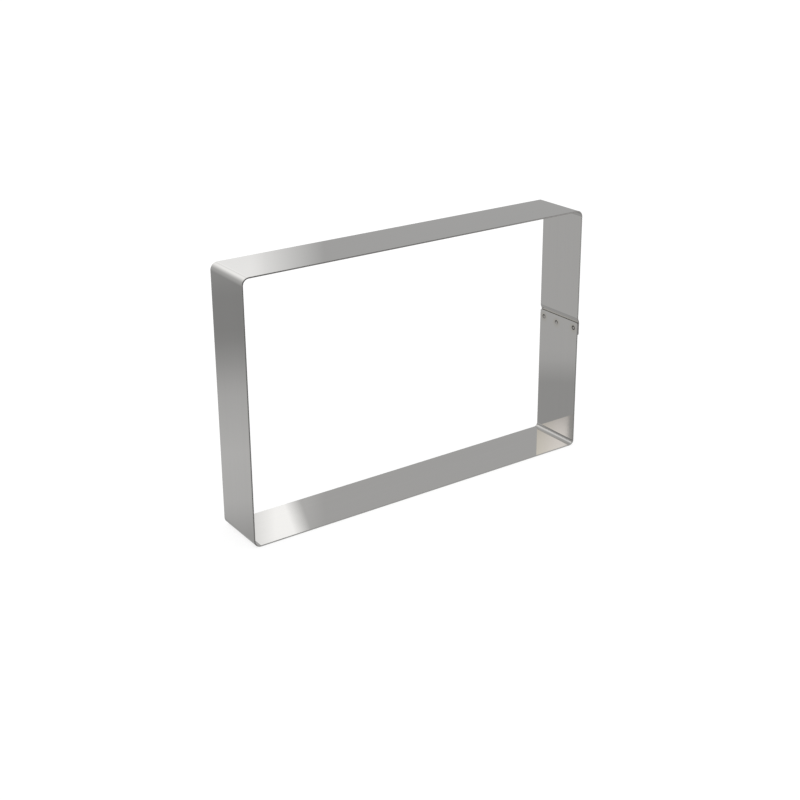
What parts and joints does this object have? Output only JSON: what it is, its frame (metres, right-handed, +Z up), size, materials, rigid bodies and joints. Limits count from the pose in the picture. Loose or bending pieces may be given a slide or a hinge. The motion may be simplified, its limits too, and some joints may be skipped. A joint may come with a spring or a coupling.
{
  "type": "rectangular baking frame",
  "caption": "Open rectangular frame of bent stainless strip with rounded corners and a spot-welded lap joint, used to shape cakes, dough and mousse on a tray.",
  "frame": {"origin": "middle of the underside of the lower long wall, where the frame stands", "axes": "+X along the long walls towards the wall with the lap joint, +Y across the strip from the front rim to the back rim, +Z up the short walls. In use the frame lies on one rim, so Y is then vertical."},
  "size_m": [0.3011, 0.045, 0.2],
  "materials": {
    "stainless_strip": "bright cold-rolled stainless steel with a fine rolling grain along the strip",
    "weld_metal": "stainless steel pressed and heat-tinted by a spot-welding electrode"
  },
  "bodies": {
    "root": {"frame_strip": "stainless_strip", "spot_weld_front": "weld_metal", "spot_weld_middle": "weld_metal", "spot_weld_back": "weld_metal"}
  },
  "joints": []
}
